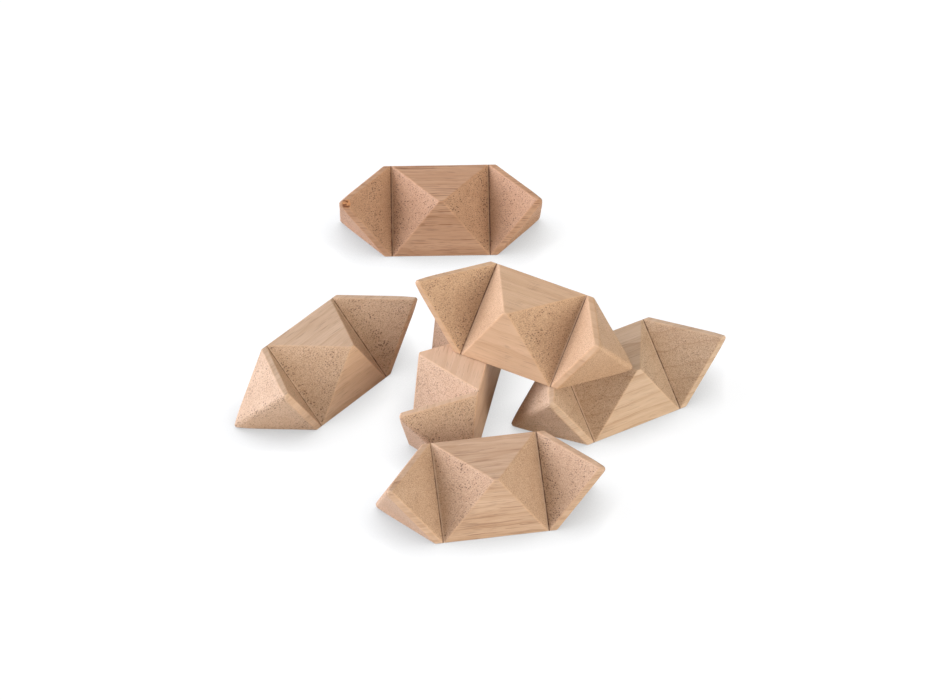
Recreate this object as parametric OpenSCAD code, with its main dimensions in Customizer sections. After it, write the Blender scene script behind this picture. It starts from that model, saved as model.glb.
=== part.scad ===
// Six-piece star burr puzzle, taken apart and laid out on a table.
//
// All six pieces are alike. Each is a length of square stick that stands on one of its
// long edges: X runs along the stick, and Z runs from the outer edge at 0 up to the inner edge.
// Both ends are cut to a 90 degree point, and two 90 degree notches are cut across the
// inner edge down to the stick's widest level. Put together, two sticks lie along each of the
// three axes, and the six make a star with twelve points.

/* [Stick] */
// Side of the square stick that every piece is cut from
stock_side = 22; // [16:0.5:40]
// How far each end point stands out past the point of an exact star
tip_allowance = 3.2; // [0:0.1:8]
// Width of the flat that is left at the root of a notch
notch_root = 0.5; // [0.2:0.1:0.8]

/* [Fit] */
// Gap between the faces of neighbouring pieces when the puzzle is together
fit_gap = 0.45; // [0.3:0.05:1.5]
// Gap between the top stick and the two sticks that it lies on
rest_gap = 0.1; // [0.05:0.05:0.5]

/* [Layout: places as right and back, in half diagonals of the stick] */
// Place of the back stick
back_place = [-0.76, 4.85]; // [-9:0.01:9]
// Turn of the back stick, in degrees
back_turn = 1.5; // [-180:0.1:180]
// Place of the left stick
left_place = [-3.59, -0.96]; // [-9:0.01:9]
// Turn of the left stick, in degrees
left_turn = 52.7; // [-180:0.1:180]
// Place of the top stick
top_place = [1.35, -1.48]; // [-9:0.01:9]
// Turn of the top stick, in degrees
top_turn = -31.8; // [-180:0.1:180]
// Place of the right stick
right_place = [2.53, -1.44]; // [-9:0.01:9]
// Turn of the right stick, in degrees
right_turn = 32.6; // [-180:0.1:180]
// Place of the stick under the top stick
under_place = [0.26, -2.3]; // [-9:0.01:9]
// Turn of the stick under the top stick, in degrees
under_turn = -99.9; // [-180:0.1:180]
// Place of the front stick
front_place = [0.16, -4.86]; // [-9:0.01:9]
// Turn of the front stick, in degrees
front_turn = 10.5; // [-180:0.1:180]

/* [Hidden] */

// Half of the stick's diagonal: the unit that the whole star is built on
half_diag = stock_side / sqrt(2);
// Height of a stick that lies on one of its flat sides
flat_height = stock_side;
// Where a notch's root lies along the stick: a gap square to the 45 degree walls moves it out
notch_x = half_diag + fit_gap * sqrt(2);
// Half of a piece's length
tip_x = 2 * half_diag + tip_allowance;
// How far a cutting shape runs past what it cuts
overrun = 1;
// A stick that lies on a flat side is rolled this far from standing on its edge
roll = 45;

// Every corner of a piece's outline, before the notches are cut
stick_corners = [
    for (end = [-1, 1])
        each [
            [end * tip_x, 0, 0],
            [end * tip_x, 0, 2 * half_diag],
            [end * (tip_x - half_diag), half_diag, half_diag],
            [end * (tip_x - half_diag), -half_diag, half_diag]
        ]
];

// How far back from the stick's outer edge a point is when the stick lies on its flat side
function lying_back(p) = p.y * cos(roll) - p.z * sin(roll);

// Where a point of a stick is in plan, once the stick is laid at a place and turned
function in_plan(p, place, turn) = [
    place.x * half_diag + p.x * cos(turn) - lying_back(p) * sin(turn),
    place.y * half_diag + p.x * sin(turn) + lying_back(p) * cos(turn)
];

layout = [
    [back_place, back_turn],
    [left_place, left_turn],
    [top_place, top_turn],
    [right_place, right_turn],
    [under_place, under_turn],
    [front_place, front_turn]
];
plan_corners = [for (laid = layout) for (p = stick_corners) in_plan(p, laid[0], laid[1])];
plan_x = [for (p = plan_corners) p.x];
plan_y = [for (p = plan_corners) p.y];
// The layout's middle, which becomes the origin
plan_middle = [(min(plan_x) + max(plan_x)) / 2, (min(plan_y) + max(plan_y)) / 2];

// The square stick, standing on its outer edge
module stock() {
    rotate([90, 0, 90])
        linear_extrude(height = 2 * (tip_x + overrun), center = true)
            polygon([
                [0, 0],
                [half_diag, half_diag],
                [0, 2 * half_diag],
                [-half_diag, half_diag]
            ]);
}

// What the two end cuts leave: a square seen from above, its corners at the end points
module pointed_ends() {
    translate([0, 0, -overrun])
        linear_extrude(height = 2 * (half_diag + overrun))
            polygon([[tip_x, 0], [0, tip_x], [-tip_x, 0], [0, -tip_x]]);
}

// One notch's cutter: a 90 degree wedge across the stick with a narrow flat at its root
module notch_cutter() {
    reach = half_diag + overrun;
    rotate([90, 0, 0])
        linear_extrude(height = 2 * (half_diag + overrun), center = true)
            polygon([
                [-notch_root / 2, half_diag + notch_root / 2],
                [notch_root / 2, half_diag + notch_root / 2],
                [reach, half_diag + reach],
                [-reach, half_diag + reach]
            ]);
}

// One piece of the puzzle
module stick() {
    difference() {
        intersection() {
            stock();
            pointed_ends();
        }
        for (side = [-1, 1])
            translate([side * notch_x, 0, 0])
                notch_cutter();
    }
}

// A piece laid on one of its flat sides, its outer edge at the given place and level
module laid_stick(place, turn, level = 0) {
    translate([place.x * half_diag - plan_middle.x, place.y * half_diag - plan_middle.y, level])
        rotate([roll, 0, turn])
            stick();
}

module back_stick() {
    color("burlywood")
        laid_stick(back_place, back_turn);
}

module left_stick() {
    color("wheat")
        laid_stick(left_place, left_turn);
}

module top_stick() {
    color("navajowhite")
        laid_stick(top_place, top_turn, flat_height + rest_gap);
}

module right_stick() {
    color("tan")
        laid_stick(right_place, right_turn);
}

module under_stick() {
    color("burlywood")
        laid_stick(under_place, under_turn);
}

module front_stick() {
    color("wheat")
        laid_stick(front_place, front_turn);
}

back_stick();
left_stick();
top_stick();
right_stick();
under_stick();
front_stick();
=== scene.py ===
"""The looks of a six-piece star burr puzzle in beech, taken apart and laid out on a table."""

import math

import bmesh
import bpy
import numpy as np
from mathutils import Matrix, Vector, noise


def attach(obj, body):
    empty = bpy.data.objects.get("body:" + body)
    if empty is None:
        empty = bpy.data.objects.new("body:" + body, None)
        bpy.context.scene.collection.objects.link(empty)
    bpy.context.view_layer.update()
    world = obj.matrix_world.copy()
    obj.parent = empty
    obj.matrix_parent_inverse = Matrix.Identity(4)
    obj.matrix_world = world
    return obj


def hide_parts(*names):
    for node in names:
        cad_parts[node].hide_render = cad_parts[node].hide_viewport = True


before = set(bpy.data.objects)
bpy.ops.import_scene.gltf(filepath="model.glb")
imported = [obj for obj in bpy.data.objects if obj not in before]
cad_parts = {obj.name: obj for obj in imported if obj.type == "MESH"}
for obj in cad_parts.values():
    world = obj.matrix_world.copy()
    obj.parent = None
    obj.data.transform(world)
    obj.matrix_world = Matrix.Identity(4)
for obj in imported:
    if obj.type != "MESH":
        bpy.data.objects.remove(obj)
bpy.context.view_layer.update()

MM = 0.001
ROOT2 = math.sqrt(2)

# ---------------------------------------------------------------- camera
VIEW_ELEVATION = 35.87  # degrees above the table
VIEW_DISTANCE = 1319.9 * MM
VIEW_LENS, VIEW_SENSOR = 154.7, 36  # in mm
VIEW_TARGET = Vector((-1.74, 13.57, 0)) * MM  # the point on the table at the picture's centre

# ---------------------------------------------------------------- shape, in mm
EDGE_ROUND = 0.35  # rounding of a long edge
TIP_ROUND = 1.5  # rounding of the end points
TIP_REACH = 4.5  # how far from an end the rounding starts to grow
ROUND_CHANGE = 0.25  # how much the rounding changes along an edge, as a share of it
SURFACE_SWELL = 0.05  # how far the sanded faces stray from flat
KERF_HALF = 0.05  # half the width of the saw's fine slot along a notch's root
KERF_DEPTH = 0.05  # how far that slot goes below the stick's widest level
EDGE_GLOW = 0.55  # how far from an edge the sanded look and the painted highlight fade out
SECTION_STEP = 0.6  # mean spacing of the mesh's sections along the stick
LONG_SPAN, EXTRA_SECTIONS = 1, 2  # a span longer than this gets some more sections
FACE_POINTS = {"outer": 32, "end": 24, "roof": 32, "cut": 26}  # mesh points across each face
ROUND_WANDER, SWELL_WANDER = 9, 11  # how wide the changes in rounding and swell are
SWELL_SEED = 50  # keeps the swell's noise apart from the rounding's
SEED_SHIFT = (37.1, 11.7, 5.3)  # how far a seed moves the noise that shapes a mesh
ROOT_LEVELS = (1.001, 1.1)  # between these many half diagonals up, a corner is a notch root's
PROJECT_STEPS = 7  # steps that move a point onto the rounded surface
NUDGE = 0.001  # how far a point is moved to measure the surface's slope
LEAST_SLOPE = 0.05  # keeps a step short where the slope is lost
MERGE = 0.004  # points closer than this become one
SHARP_ANGLE = 38  # degrees; a sharper edge isn't smoothed over
LONG_FACES = 4  # the first so many planes are the long faces, and the rest are cuts


class Stick:
    """A stick's own frame and sizes, read from its CAD mesh: x runs along it, y across it,
    and w from its outer ridge at 0 to its inner ridge."""

    def __init__(self, node):
        mesh = node.data
        corners = np.array([v.co for v in mesh.vertices]) / MM
        spans = [(corners[e.vertices[0]], corners[e.vertices[1]]) for e in mesh.edges]
        start, end = max(spans, key=lambda s: np.linalg.norm(s[1] - s[0]))
        self.tip = np.linalg.norm(end - start) / 2
        self.origin = (start + end) / 2
        along = (end - start) / np.linalg.norm(end - start)
        along *= np.sign(along[0])
        middle = np.unique(corners.round(3), axis=0).mean(axis=0) - self.origin
        inward = middle - along * (middle @ along)
        inward /= np.linalg.norm(inward)
        self.axes = np.stack([along, np.cross(inward, along), inward])
        local = (corners - self.origin) @ self.axes.T
        self.half_diag = local[:, 2].max() / 2
        above = local[:, 2] / self.half_diag
        roots = local[(above > ROOT_LEVELS[0]) & (above < ROOT_LEVELS[1])]
        self.root = 2 * (roots[:, 2].mean() - self.half_diag)
        self.notch_x = np.abs(roots[:, 0]).mean()

    def world(self, local):
        return (local @ self.axes + self.origin) * MM

    def planes(self, local):
        """Signed distances to the faces; a point is in the stick where all are negative."""
        x, y, w = local.T
        r = self.half_diag
        past = np.abs(x) - self.notch_x
        notch = np.minimum((w - r - past) / ROOT2, (w - r + past) / ROOT2)
        notch = np.minimum(notch, w - r - self.root / 2)
        faces = [(y - w), (-y - w), (y + w - 2 * r), (w - y - 2 * r)]
        faces += [sx * x + sy * y - self.tip for sx in (-1, 1) for sy in (-1, 1)]
        return np.stack([f / ROOT2 for f in faces] + [notch])

    def surface(self, local, rounding, swell):
        """Distance to the rounded stick, with the saw's slots cut into it."""
        planes = self.planes(local)
        reach = np.maximum(planes + rounding, 0)
        rounded = np.sqrt((reach**2).sum(axis=0)) - rounding
        body = np.where(planes.max(axis=0) > -rounding, rounded, planes.max(axis=0)) + swell
        past = np.abs(np.abs(local[:, 0]) - self.notch_x)
        slot = np.minimum(KERF_HALF - past, local[:, 2] - self.half_diag + KERF_DEPTH)
        return np.maximum(body, slot)


def eased(start, end, count):
    """Points from start to end that crowd towards both, without the last."""
    turn = np.arange(count) * math.pi / count
    return start + (end - start) * (1 - np.cos(turn)) / 2


def stations(stick):
    """Places along the stick as (x, level that the notch cuts down to), from end to end."""
    r, n = stick.half_diag, stick.notch_x
    lip, floor = r + stick.root / 2, r - KERF_DEPTH
    marks = [
        (0, 2 * r), (n - r, 2 * r), (n - stick.root / 2, lip), (n - KERF_HALF, lip),
        (n - KERF_HALF, floor), (n + KERF_HALF, floor), (n + KERF_HALF, lip),
        (n + stick.root / 2, lip), (stick.tip - r, stick.tip - n),
        (n + r, 2 * r), (stick.tip, 2 * r),
    ]
    half = []
    for (x0, w0), (x1, w1) in zip(marks, marks[1:]):
        count = max(1, math.ceil((x1 - x0) / SECTION_STEP))
        count += EXTRA_SECTIONS * (x1 - x0 > LONG_SPAN)
        share = eased(0, 1, count)
        half += [(x0 + (x1 - x0) * s, w0 + (w1 - w0) * s) for s in share]
    half.append(marks[-1])
    return [(-x, w) for x, w in reversed(half[1:])] + half


def section(stick, x, cut):
    """One section's outline: up one side from the outer ridge, and the same mirrored."""
    r = stick.half_diag
    side = min(r, stick.tip - abs(x), cut)
    top = min(2 * r - side, cut)
    corner = min(side, 2 * r - cut)
    marks = [(0, 0), (side, side), (side, top), (corner, cut), (0, cut)]
    points = []
    for (a, b), count in zip(zip(marks, marks[1:]), FACE_POINTS.values()):
        share = eased(0, 1, count)[:, None]
        points += list(np.array(a) + (np.array(b) - np.array(a)) * share)
    points.append(np.array(marks[-1]))
    mirrored = [p * (-1, 1) for p in reversed(points[1:-1])]
    return [(x, y, w) for y, w in points + mirrored]


def wander(points, size, seed):
    """Smooth noise from -1 to 1 at each point, with features about size mm across."""
    shift = Vector([seed * step for step in SEED_SHIFT])
    return np.array([noise.noise(Vector(p) / size + shift) for p in points])


def settle(stick, local, rounding, swell):
    """Moves points onto the rounded surface along its slope."""
    for _ in range(PROJECT_STEPS):
        value = stick.surface(local, rounding, swell)
        slope = np.stack([
            (stick.surface(local + step, rounding, swell)
             - stick.surface(local - step, rounding, swell)) / (2 * NUDGE)
            for step in np.eye(3) * NUDGE
        ], axis=1)
        steep = np.maximum((slope**2).sum(axis=1), LEAST_SLOPE)
        local = local - slope * (value / steep)[:, None]
    return local


def rounded_mesh(name, stick, seed):
    """The stick with softened edges, as one closed mesh with its own coordinates stored on it."""
    rings = [section(stick, x, cut) for x, cut in stations(stick)]
    around = len(rings[0])
    shape = bmesh.new()
    verts = [[shape.verts.new(p) for p in ring] for ring in rings]
    for first, second in zip(verts, verts[1:]):
        for i in range(around):
            j = (i + 1) % around
            shape.faces.new((first[i], first[j], second[j], second[i]))
    bmesh.ops.remove_doubles(shape, verts=shape.verts, dist=MERGE)
    bmesh.ops.dissolve_degenerate(shape, dist=MERGE, edges=shape.edges)

    flat = np.array([v.co for v in shape.verts])
    near_tip = np.clip((np.abs(flat[:, 0]) - stick.tip + TIP_REACH) / TIP_REACH, 0, 1)
    rounding = EDGE_ROUND + (TIP_ROUND - EDGE_ROUND) * near_tip**2
    rounding = rounding * (1 + ROUND_CHANGE * wander(flat, ROUND_WANDER, seed))
    swell = SURFACE_SWELL * (0.5 + 0.5 * wander(flat, SWELL_WANDER, seed + SWELL_SEED))
    local = settle(stick, flat, rounding, swell)
    for v, p in zip(shape.verts, local):
        v.co = p
    bmesh.ops.remove_doubles(shape, verts=shape.verts, dist=MERGE)
    bmesh.ops.dissolve_degenerate(shape, dist=MERGE, edges=shape.edges)
    bmesh.ops.recalc_face_normals(shape, faces=shape.faces)

    mesh = bpy.data.meshes.new(name)
    shape.to_mesh(mesh)
    shape.free()
    local = np.array([v.co for v in mesh.vertices])
    # how close each point is to an edge, for the sanded wear and for the painted edge highlight
    second = np.sort(stick.planes(local), axis=0)[-2]
    edge = np.clip(1 + second / EDGE_GLOW, 0, 1)
    most = stick.planes(local).argmax(axis=0)
    store(mesh, "stick_place", "FLOAT_VECTOR", local)
    store(mesh, "edge_wear_and_highlight", "FLOAT", edge)
    store(mesh, "cut_face", "FLOAT", (most >= LONG_FACES).astype(float))
    world = stick.world(local)
    mesh.vertices.foreach_set("co", world.ravel())
    mesh.shade_smooth()
    mesh.set_sharp_from_angle(angle=math.radians(SHARP_ANGLE))
    mesh.update()
    return mesh


def store(mesh, name, kind, values):
    """Keeps one value per vertex under a name that materials can read."""
    attribute = mesh.attributes.new(name, kind, "POINT")
    field = "vector" if kind == "FLOAT_VECTOR" else "value"
    attribute.data.foreach_set(field, np.asarray(values, np.float32).ravel())


# ---------------------------------------------------------------- wood

class Graph:
    """A material's node tree, with short calls that add a node and return its output."""

    def __init__(self, name):
        self.material = bpy.data.materials.new(name)
        self.material.use_nodes = True
        self.nodes = self.material.node_tree.nodes
        self.links = self.material.node_tree.links
        self.shader = self.nodes["Principled BSDF"]

    def put(self, socket, value):
        if isinstance(value, bpy.types.NodeSocket):
            self.links.new(value, socket)
        else:
            socket.default_value = value

    def add(self, kind, inputs=None, output=0, **settings):
        node = self.nodes.new(kind)
        for key, value in settings.items():
            setattr(node, key, value)
        for key, value in (inputs or {}).items():
            self.put(node.inputs[key], value)
        return node.outputs[output]

    def attribute(self, name, output):
        return self.add("ShaderNodeAttribute", output=output, attribute_name=name)

    def math(self, operation, *values, clamp=False):
        inputs = dict(enumerate(values))
        return self.add("ShaderNodeMath", inputs, operation=operation, use_clamp=clamp)

    def scaled(self, vector, scale, shift=(0, 0, 0)):
        inputs = {"Vector": vector, "Scale": scale, "Location": shift}
        return self.add("ShaderNodeMapping", inputs)

    def noise(self, vector, detail=2.0, roughness=0.5):
        inputs = {"Vector": vector, "Scale": 1.0, "Detail": detail, "Roughness": roughness}
        return self.add("ShaderNodeTexNoise", inputs, output="Fac")

    def fit(self, value, low, high, to_low=0.0, to_high=1.0, kind="SMOOTHSTEP"):
        inputs = {
            "Value": value, "From Min": low, "From Max": high,
            "To Min": to_low, "To Max": to_high,
        }
        return self.add("ShaderNodeMapRange", inputs, interpolation_type=kind)

    def mix(self, share, first, second):
        node = self.nodes.new("ShaderNodeMix")
        node.data_type = "RGBA"
        for key, value in ((0, share), (6, first), (7, second)):
            self.put(node.inputs[key], value)
        return node.outputs[2]


def rgb(red, green, blue):
    """A colour from display values of 0 to 255."""
    channel = [c / 255 for c in (red, green, blue)]
    linear = [c / 12.92 if c <= 0.04045 else ((c + 0.055) / 1.055) ** 2.4 for c in channel]
    return (*linear, 1.0)


# One stick's wood: its middle tone, where the tree's centre lay from the stick in mm,
# ring spacing in mm, how strong its pores show on the cuts that face left and right, how
# strong its rings, streaks and bands show, and a seed
WOODS = {
    "back": dict(tone=rgb(193, 153, 122), pith=(40, -50), ring=2.3, pores=(0.9, 0.9), rings=0.15,
                 streaks=1.2, bands=1.1, seed=1, chip=(-31.0, 0.0, 30.4)),
    "left": dict(tone=rgb(203, 173, 145), pith=(-70, 30), ring=3.8, pores=(0.8, 0.8), rings=0.1,
                 streaks=0.35, bands=0.6, seed=2),
    "top": dict(tone=rgb(201, 166, 133), pith=(25, -60), ring=3.4, pores=(0.24, 0.75), rings=0.05,
                streaks=0.25, bands=0.5, seed=3),
    "right": dict(tone=rgb(202, 174, 147), pith=(-62, -8), ring=5.0, pores=(0.4, 0.6), rings=1.8,
                  streaks=0.4, bands=0.8, seed=4),
    "under": dict(tone=rgb(206, 174, 146), pith=(60, 40), ring=3.6, pores=(0.6, 0.75), rings=0.05,
                  streaks=0.1, bands=0.5, seed=5),
    "front": dict(tone=rgb(197, 165, 137), pith=(-30, -65), ring=3.0, pores=(0.85, 0.3), rings=0.05,
                  streaks=0.8, bands=1.0, seed=6),
}
PORE = rgb(70, 38, 22)
STREAK = rgb(120, 72, 44)
# the painted shade in the corner along a notch root
VALLEY_SHADE_TONE = rgb(84, 50, 32)
CHIP_TONE = rgb(212, 148, 98)
# shares of a stick's tone, by channel
PALE, DEEP = (1.12, 1.14, 1.16), (0.80, 0.71, 0.62)  # the lightest and darkest wood; the lightest is also the painted highlight on a notch root's flat
RING_TONE = (0.55, 0.42, 0.32)
SPECKLE_TONE = (0.6, 0.5, 0.42)
# a sanded edge's tone: warmer from sanding, and paler as a painted highlight
SANDED_AND_HIGHLIGHT_TONE = (1.22, 1.1, 0.94)

# the sizes in mm, along the stick and two ways across it, of each pattern in the wood
CELLS = {
    "sway": (13, 6, 6), "bend": (45, 14, 14), "fibre": (18, 0.34, 0.34),
    "band": (38, 1.7, 1.7), "blotch": (26, 9, 9), "speckle": (0.5, 0.3, 0.3),
    "streak": (18, 0.36, 0.36), "streak_patch": (30, 4, 4), "crowd": (30, 3.6, 3.6),
    "pore": (9, 0.64, 0.64), "small_pore": (6, 0.49, 0.49), "sanding": (6, 3, 3),
    # root_shade_patch: the patches of the painted shade line along a notch root
    "root_shade_patch": (40, 2.5, 2.5), "chip_rim": (3, 1, 1), "chip_tear": (8, 0.6, 0.6),
}
NOISE_SHIFT = (17.3, 7.9, 3.7)  # how far a seed moves the patterns
GRAIN_WAVER = 1.3  # how far the grain strays sideways, in mm
RING_BEND = 7.0  # how far the rings bend, in mm
RING_END = 0.95  # where in a ring, as a share of it, its dark late wood ends
LATE_POWER, LINE_POWER = 3.0, 24.0  # how close to a ring's end it darkens, and has its line
LATE_SHARE = (0.32, 0.1)  # how dark late wood is, on the long faces and on the cuts
BAND_SHARE = (0.3, 0.1)  # how dark the bands are, on the long faces and on the cuts
# how strongly each of these shows
FIBRE_SHARE, BLOTCH_SHARE = 0.3, 0.18
LINE_SHARE, SPECKLE_SHARE, STREAK_SHARE = 0.5, 0.75, 0.6
# the sanded edges' tone with their painted highlight, a notch root's painted highlight, and its
# painted shade line
SANDED_AND_HIGHLIGHT_SHARE, ROOT_HIGHLIGHT_SHARE, ROOT_SHADE_SHARE = 0.6, 0.7, 0.95
PORE_REACH = (0.41, 0.0)  # largest radius of a pore in its cell, and the share left out
SMALL_PORE_REACH = (0.37, 0.05)
LEAST_PORE = 0.6  # a pore's smallest radius, as a share of its largest
LONG_FACE_PORES = 0.3  # how much pores show on the long faces
EDGE_PORES = 0.3  # how much pores show on a sanded edge
ROOT_REACH = 0.8  # how far up and down a notch root's painted highlight and painted shade go, as a share of the root
ROOT_HIGHLIGHT_AT = 0.12  # where a root's painted highlight strip lies, from the root's middle, in mm
ROOT_SHADE_REACH = (0.3, 2.0)  # where a root's painted shade line is darkest, in mm from its outer end
CHIP_SIZE = 2.4  # the chip's radius, in mm
CHIP_RAGGED = 1.2  # how ragged the chip's rim is, in mm
CHIP_SHARE = 0.8
# relief of each of these, in mm before the bump's own strength
FIBRE_HEIGHT, SPECKLE_HEIGHT, PORE_HEIGHT, CHIP_HEIGHT = 0.03, -0.03, -0.12, -0.2
BUMP_STRENGTH = 0.8
ROUGHNESS, FIBRE_ROUGHNESS, EDGE_ROUGHNESS = 0.52, 0.12, -0.1
SPECULAR = 0.3


def shade(colour, shares):
    """The same colour, lighter or darker by one share for each channel."""
    return (*[c * share for c, share in zip(colour, shares)], 1.0)


class Beech:
    """Sanded beech as solid wood: rings, fibres and pores run through the stick."""

    def __init__(self, name, stick, wood):
        self.g = g = Graph(name)
        self.stick, self.wood, self.tone = stick, wood, wood["tone"]
        self.place = g.attribute("stick_place", "Vector")
        self.edge = g.attribute("edge_wear_and_highlight", "Fac")
        self.cut = g.attribute("cut_face", "Fac")
        parts = g.nodes.new("ShaderNodeSeparateXYZ")
        g.put(parts.inputs[0], self.place)
        self.along, self.side, self.level = parts.outputs
        self.past = g.math("SUBTRACT", g.math("ABSOLUTE", self.along), stick.notch_x)
        self.grain = self.wavered()
        self.fibre = g.noise(self.cells("fibre", self.grain), detail=3, roughness=0.65)
        speckle = g.noise(self.cells("speckle"), detail=2, roughness=0.7)
        self.grainy = g.math("MULTIPLY", self.cut, g.fit(speckle, 0.4, 0.68))

    def cells(self, pattern, at=None):
        """Coordinates in the cells of a pattern, shifted for each stick."""
        scale = tuple(1 / size for size in CELLS[pattern])
        shift = tuple(self.wood["seed"] * step for step in NOISE_SHIFT)
        return self.g.scaled(self.place if at is None else at, scale, shift)

    def patches(self, pattern, low, high, to_low=0.0, to_high=1.0, detail=1, at=None):
        """Soft patches of a pattern, from to_low to to_high."""
        noise_value = self.g.noise(self.cells(pattern, at), detail=detail)
        return self.g.fit(noise_value, low, high, to_low, to_high)

    def by_cut(self, on_long_faces, on_cuts):
        """One value on the long faces and another on the cuts."""
        return self.g.fit(self.cut, 0, 1, on_long_faces, on_cuts, "LINEAR")

    def wavered(self):
        """The stick's coordinates, wavering sideways along the grain."""
        g = self.g
        inputs = {"Vector": self.cells("sway"), "Scale": 1.0, "Detail": 2.0}
        sway = g.add("ShaderNodeTexNoise", inputs, output="Color")
        sway = g.add("ShaderNodeVectorMath", {0: sway, 1: (0.5, 0.5, 0.5)},
                     operation="SUBTRACT")
        sway = g.scaled(sway, (0, GRAIN_WAVER, GRAIN_WAVER))
        return g.add("ShaderNodeVectorMath", {0: self.place, 1: sway}, operation="ADD")

    def rings(self):
        """The late wood of the rings around the tree's centre, and the thin line that ends it."""
        g = self.g
        from_pith = g.add("ShaderNodeVectorMath", {0: self.grain, 1: (0, *self.wood["pith"])},
                          operation="SUBTRACT")
        across = g.scaled(from_pith, (0, 1, 1))
        radius = g.add("ShaderNodeVectorMath", {0: across}, output="Value", operation="LENGTH")
        bend = g.noise(self.cells("bend"), detail=2)
        radius = g.math("MULTIPLY_ADD", bend, RING_BEND, radius)
        phase = g.math("FRACT", g.math("DIVIDE", radius, self.wood["ring"]))
        ring_end = g.fit(phase, RING_END, 1.0, 1.0, 0.0)
        late = g.math("MULTIPLY", g.math("POWER", phase, LATE_POWER), ring_end)
        line = g.math("MULTIPLY", g.math("POWER", phase, LINE_POWER), ring_end)
        return late, line

    def plain_wood(self):
        """The colour of rings, fibres, bands and blotches together."""
        g, bands = self.g, self.wood["bands"]
        late, line = self.rings()
        depth = g.math("MULTIPLY", late, self.by_cut(*LATE_SHARE))
        depth = g.math("MULTIPLY_ADD", g.fit(self.fibre, 0.3, 0.7), FIBRE_SHARE * bands, depth)
        band = self.patches("band", 0.35, 0.7, detail=2, at=self.grain)
        banded = g.math("MULTIPLY", band, self.by_cut(BAND_SHARE[0] * bands, BAND_SHARE[1]))
        depth = g.math("ADD", banded, depth)
        blotch = self.patches("blotch", 0.3, 0.7)
        depth = g.math("MULTIPLY_ADD", blotch, BLOTCH_SHARE, depth, clamp=True)
        colour = g.mix(depth, shade(self.tone, PALE), shade(self.tone, DEEP))
        lined = g.math("MULTIPLY", line, LINE_SHARE * self.wood["rings"])
        return g.mix(lined, colour, shade(self.tone, RING_TONE))

    def speckled(self, colour):
        """The speckled look of wood that is cut across its fibres."""
        share = self.g.math("MULTIPLY", self.grainy, SPECKLE_SHARE)
        return self.g.mix(share, colour, shade(self.tone, SPECKLE_TONE))

    def streaked(self, colour):
        """Thin dark streaks on the long faces."""
        g = self.g
        thin = self.patches("streak", 0.56, 0.68, at=self.grain)
        streak = g.math("MULTIPLY", thin, self.patches("streak_patch", 0.35, 0.65, 0.25, 1.0))
        long_face = g.math("SUBTRACT", 1.0, self.cut)
        kept = g.math("MULTIPLY", long_face, STREAK_SHARE * self.wood["streaks"])
        return g.mix(g.math("MULTIPLY", streak, kept), colour, STREAK)

    def pores_of(self, pattern, reach, left_out):
        """Long pores that run with the grain, each in its own cell."""
        g = self.g
        node = g.nodes.new("ShaderNodeTexVoronoi")
        g.put(node.inputs["Vector"], self.cells(pattern, self.grain))
        g.put(node.inputs["Scale"], 1.0)
        chance = g.add("ShaderNodeSeparateColor", {0: node.outputs["Color"]}, output=0)
        radius = g.fit(chance, 0, 1, reach * LEAST_PORE, reach, "LINEAR")
        inside = g.fit(g.math("DIVIDE", node.outputs["Distance"], radius), 0.5, 1.0, 1.0, 0.0)
        strength = g.fit(chance, left_out, 1.0, 0.0, 1.0, "LINEAR")
        return g.math("MULTIPLY", inside, strength)

    def all_pores(self):
        """Both sizes of pore, in crowds, and fewer on a sanded edge."""
        g = self.g
        pore = g.math("MAXIMUM", self.pores_of("pore", *PORE_REACH),
                      self.pores_of("small_pore", *SMALL_PORE_REACH))
        pore = g.math("MULTIPLY", pore, self.patches("crowd", 0.28, 0.6, 0.5, 1.0))
        return g.math("MULTIPLY", pore, g.fit(self.edge, 0.2, 0.9, 1.0, EDGE_PORES))

    def pored(self, colour, pore):
        """Pores as dots on the slanting cuts and as fine dashes on the long faces."""
        g = self.g
        faces_left = g.math("GREATER_THAN", g.math("MULTIPLY", self.past, self.along), 0.0)
        on_left, on_right = self.wood["pores"]
        kept = g.fit(faces_left, 0, 1, on_right, on_left, "LINEAR")
        shown = g.math("MULTIPLY", pore, self.by_cut(LONG_FACE_PORES, 1.0))
        return g.mix(g.math("MULTIPLY", shown, kept), colour, PORE)

    def sanded(self, colour):
        """Sanded edges are smoother and warmer, and are drawn paler as a painted highlight."""
        g = self.g
        # painted highlight: the edges are drawn paler in patches, together with the warmer sanded
        # tone
        glow = g.math("MULTIPLY", self.edge, g.noise(self.cells("sanding"), detail=1))
        glow = g.math("MULTIPLY", glow, SANDED_AND_HIGHLIGHT_SHARE, clamp=True)
        return g.mix(glow, colour, shade(self.tone, SANDED_AND_HIGHLIGHT_TONE))

    def root_highlight_and_shade(self, colour):
        """A notch's root: a painted highlight on its narrow flat, and a patchy line of painted
        shade along its outer side.
        """
        g, stick = self.g, self.stick
        above = g.math("SUBTRACT", self.level, stick.half_diag + stick.root / 2)
        near = g.math("LESS_THAN", g.math("ABSOLUTE", above), stick.root * ROOT_REACH)
        # painted highlight: a pale strip on the root's flat
        off_flat = g.math("ABSOLUTE", g.math("ADD", self.past, ROOT_HIGHLIGHT_AT))
        flat = g.fit(off_flat, 0.1, 0.3, ROOT_HIGHLIGHT_SHARE, 0.0)
        colour = g.mix(g.math("MULTIPLY", flat, near), colour, shade(self.tone, PALE))
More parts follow.
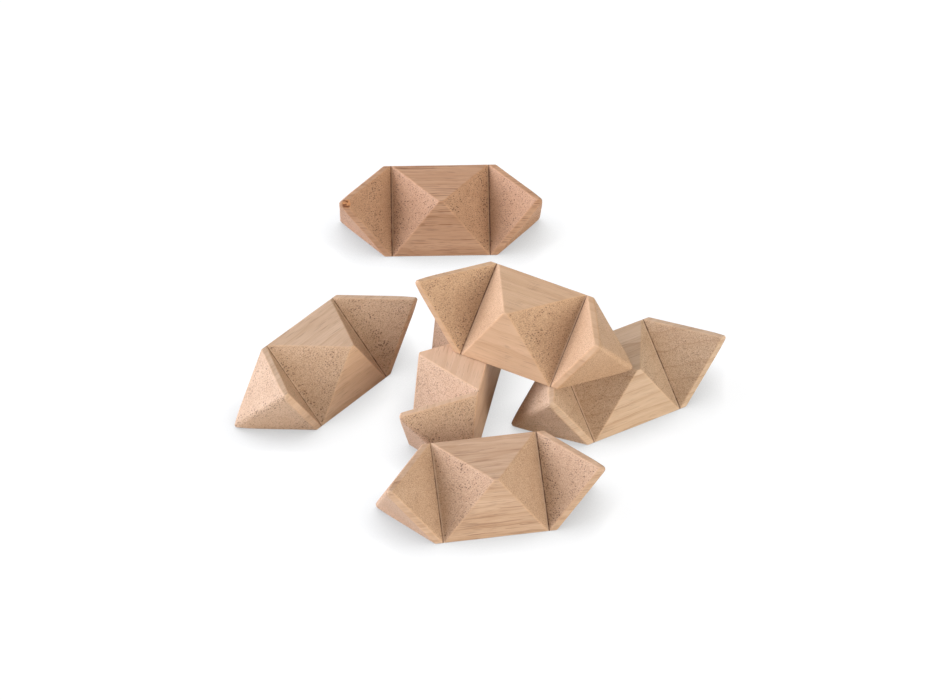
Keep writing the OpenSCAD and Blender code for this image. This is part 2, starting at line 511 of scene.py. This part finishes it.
        # painted shade: a dark line in the corner along the root's outer side, in patches and
        # darkest towards one end
        off_line = g.math("ABSOLUTE", g.math("SUBTRACT", self.past, stick.root / 2))
        line = g.math("MULTIPLY", g.fit(off_line, 0.05, 0.24, 1.0, 0.0), near)
        shade_patches = self.patches("root_shade_patch", 0.35, 0.65, 0.5, 1.0, detail=2)
        shade_end_from, shade_end_to = [reach - stick.half_diag for reach in ROOT_SHADE_REACH]
        shade_end = g.fit(self.side, shade_end_from, shade_end_to, 1.0, 0.0)
        line = g.math("MULTIPLY", line, g.math("MAXIMUM", shade_patches, shade_end))
        return g.mix(g.math("MULTIPLY", line, ROOT_SHADE_SHARE), colour, VALLEY_SHADE_TONE)

    def chipped(self, colour, height):
        """A small torn chip, where the wood has one."""
        g = self.g
        off = g.add("ShaderNodeVectorMath", {0: self.place, 1: self.wood["chip"]},
                    operation="SUBTRACT")
        off = g.add("ShaderNodeVectorMath", {0: off}, output="Value", operation="LENGTH")
        off = g.math("MULTIPLY_ADD", g.noise(self.cells("chip_rim")), CHIP_RAGGED, off)
        chip = g.fit(off, CHIP_SIZE * 0.8, CHIP_SIZE, 1.0, 0.0)
        torn = self.patches("chip_tear", 0.5, 0.62)
        colour = g.mix(g.math("MULTIPLY", chip, CHIP_SHARE), colour, CHIP_TONE)
        colour = g.mix(g.math("MULTIPLY", chip, torn), colour, STREAK)
        return colour, g.math("MULTIPLY_ADD", chip, CHIP_HEIGHT, height)

    def finished(self):
        """The material, with its colour, roughness and bump put together."""
        g, pore = self.g, self.all_pores()
        colour = self.streaked(self.speckled(self.plain_wood()))
        colour = self.root_highlight_and_shade(self.sanded(self.pored(colour, pore)))
        height = g.math("MULTIPLY", self.fibre, FIBRE_HEIGHT)
        height = g.math("MULTIPLY_ADD", self.grainy, SPECKLE_HEIGHT, height)
        height = g.math("MULTIPLY_ADD", pore, PORE_HEIGHT, height)
        if "chip" in self.wood:
            colour, height = self.chipped(colour, height)
        bump = {"Height": height, "Strength": BUMP_STRENGTH, "Distance": MM}
        roughness = g.math("MULTIPLY_ADD", self.fibre, FIBRE_ROUGHNESS, ROUGHNESS)
        roughness = g.math("MULTIPLY_ADD", self.edge, EDGE_ROUGHNESS, roughness)
        g.put(g.shader.inputs["Base Color"], colour)
        g.put(g.shader.inputs["Roughness"], roughness)
        g.put(g.shader.inputs["Normal"], g.add("ShaderNodeBump", bump))
        g.shader.inputs["Specular IOR Level"].default_value = SPECULAR
        return g.material


def dress_sticks():
    """Puts a finished wooden stick in the place of each CAD stick."""
    for body, wood in WOODS.items():
        node_name = f"{body}_stick"
        stick = Stick(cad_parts[node_name])
        mesh = rounded_mesh(f"{node_name}_wood", stick, wood["seed"])
        mesh.materials.append(Beech(f"beech_{body}", stick, wood).finished())
        piece = bpy.data.objects.new(f"{node_name}_wood", mesh)
        bpy.context.scene.collection.objects.link(piece)
        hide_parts(node_name)
        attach(piece, body)


# ---------------------------------------------------------------- stage

ROOM_SIZE = 12.0  # half the table's side, in metres
DOME_SHARE = 0.9  # the backdrop's radius, as a share of that
TABLE_SQUARES = 8
DOME_SEGMENTS, DOME_RINGS = 48, 24
SEEN_TABLE = (0.10, 0.105, 0.11)
TABLE_GLOW_AND_PAINTED_SHADOW = (0.38, 0.93)  # the table's glow right beside a stick, dimmed there as a painted shadow, and well away from all of them
PAINTED_SHADOW_REACH = 11 * MM  # how far from a stick the painted shadow on the table reaches
PAINTED_SHADOW_SAMPLES = 4
PAPER_ROUGHNESS, PAPER_SPECULAR = 0.9, 0.1
BOUNCE_TABLE = (0.88, 0.88, 0.88)
BOUNCE_DROP = 0.2 * MM  # how far the surface that throws light back lies under the seen one
BACKDROP_TONE = (0.9, 0.9, 0.9, 1)
SKY_STRENGTH = 0.05
LIGHT_SPREAD = 60  # degrees
# soft lights: where each comes from, its strength and its colour
COOL, WARM, WHITE = (0.98, 1.0, 1.12), (1.03, 1.0, 0.92), (1.0, 1.0, 1.0)
SOFT_LIGHTS = {
    "overhead": (Vector((0, 0, 1)), 0.5, WHITE),
    "window_left": (Vector((-0.8, 0, 0.6)), 0.85, COOL),
    "left_low": (Vector((-0.95, -0.1, 0.3)), 2.75, COOL),
    "left_behind": (Vector((-0.75, 0.5, 0.35)), 1.7, COOL),
    "right_front": (Vector((0.6, -0.8, 0.08)), 3.15, WARM),
    "right_low": (Vector((0.95, -0.2, 0.25)), 1.05, WARM),
}


def staged(name, shape, material):
    """A part of the set: the table or the backdrop."""
    mesh = bpy.data.meshes.new(name)
    shape.to_mesh(mesh)
    shape.free()
    mesh.materials.append(material)
    piece = bpy.data.objects.new(name, mesh)
    bpy.context.scene.collection.objects.link(piece)
    return piece


def seen_only(piece):
    """Leaves a part of the set in sight, but gives it no part in the light."""
    piece.visible_diffuse = False
    piece.visible_glossy = False
    piece.visible_shadow = False


def paper(name, tone, glow):
    """Matt white paper; where it glows, the glow is dimmed close to what stands on it as a painted
    shadow.
    """
    g = Graph(name)
    g.shader.inputs["Base Color"].default_value = (*tone, 1)
    g.shader.inputs["Roughness"].default_value = PAPER_ROUGHNESS
    g.shader.inputs["Specular IOR Level"].default_value = PAPER_SPECULAR
    g.material.cycles.emission_sampling = "NONE"
    if glow:
        # painted shadow: the glow is dimmed where the sticks close a point of the table in
        near = g.add("ShaderNodeAmbientOcclusion", {"Distance": PAINTED_SHADOW_REACH}, output="AO",
                     samples=PAINTED_SHADOW_SAMPLES)
        g.shader.inputs["Emission Color"].default_value = (1, 1, 1, 1)
        g.put(g.shader.inputs["Emission Strength"], g.fit(near, 0, 1, *glow, "LINEAR"))
    return g.material


def white_table():
    """A plain white table top that glows, with a painted shadow beside the sticks, and just under
    it the surface that throws light back up.
    """
    shape = bmesh.new()
    bmesh.ops.create_grid(shape, x_segments=TABLE_SQUARES, y_segments=TABLE_SQUARES,
                          size=ROOM_SIZE)
    lower = shape.copy()
    bmesh.ops.translate(lower, verts=lower.verts, vec=(0, 0, -BOUNCE_DROP))
    top = staged("table_top", shape, paper("table_paper_painted_shadow", SEEN_TABLE, TABLE_GLOW_AND_PAINTED_SHADOW))
    seen_only(top)
    bounce = staged("table_bounce", lower, paper("table_bounce", BOUNCE_TABLE, None))
    bounce.visible_camera = False


def backdrop():
    """A pale dome that only the camera sees, so no view looks past the table into the dark."""
    g = Graph("pale_backdrop")
    g.shader.inputs["Base Color"].default_value = (0, 0, 0, 1)
    g.shader.inputs["Emission Color"].default_value = BACKDROP_TONE
    g.shader.inputs["Emission Strength"].default_value = 1.0
    g.material.cycles.emission_sampling = "NONE"
    shape = bmesh.new()
    bmesh.ops.create_uvsphere(shape, u_segments=DOME_SEGMENTS, v_segments=DOME_RINGS,
                              radius=ROOM_SIZE * DOME_SHARE)
    seen_only(staged("backdrop", shape, g.material))


def lights():
    """Large soft lights: the strongest low at the left and low at the right front."""
    world = bpy.data.worlds.new("white_room")
    world.use_nodes = True
    world.node_tree.nodes["Background"].inputs["Color"].default_value = (1, 1, 1, 1)
    world.node_tree.nodes["Background"].inputs["Strength"].default_value = SKY_STRENGTH
    bpy.context.scene.world = world
    for name, (source, strength, colour) in SOFT_LIGHTS.items():
        lamp = bpy.data.lights.new(name, "SUN")
        lamp.energy = strength
        lamp.angle = math.radians(LIGHT_SPREAD)
        lamp.color = colour
        light = bpy.data.objects.new(name, lamp)
        light.rotation_mode = "QUATERNION"
        light.rotation_quaternion = source.to_track_quat("Z", "Y")
        bpy.context.scene.collection.objects.link(light)
    bpy.context.scene.view_settings.view_transform = "Standard"


def camera():
    """The camera, at the angle and distance that the puzzle is seen from."""
    tilt = math.radians(VIEW_ELEVATION)
    away = Vector((0, -math.cos(tilt), math.sin(tilt)))
    lens = bpy.data.cameras.new("camera")
    lens.lens = VIEW_LENS
    lens.sensor_width = VIEW_SENSOR
    view = bpy.data.objects.new("camera", lens)
    view.location = VIEW_TARGET + away * VIEW_DISTANCE
    view.rotation_mode = "QUATERNION"
    view.rotation_quaternion = away.to_track_quat("Z", "Y")
    bpy.context.scene.collection.objects.link(view)
    bpy.context.scene.camera = view


camera()
lights()
white_table()
backdrop()
dress_sticks()
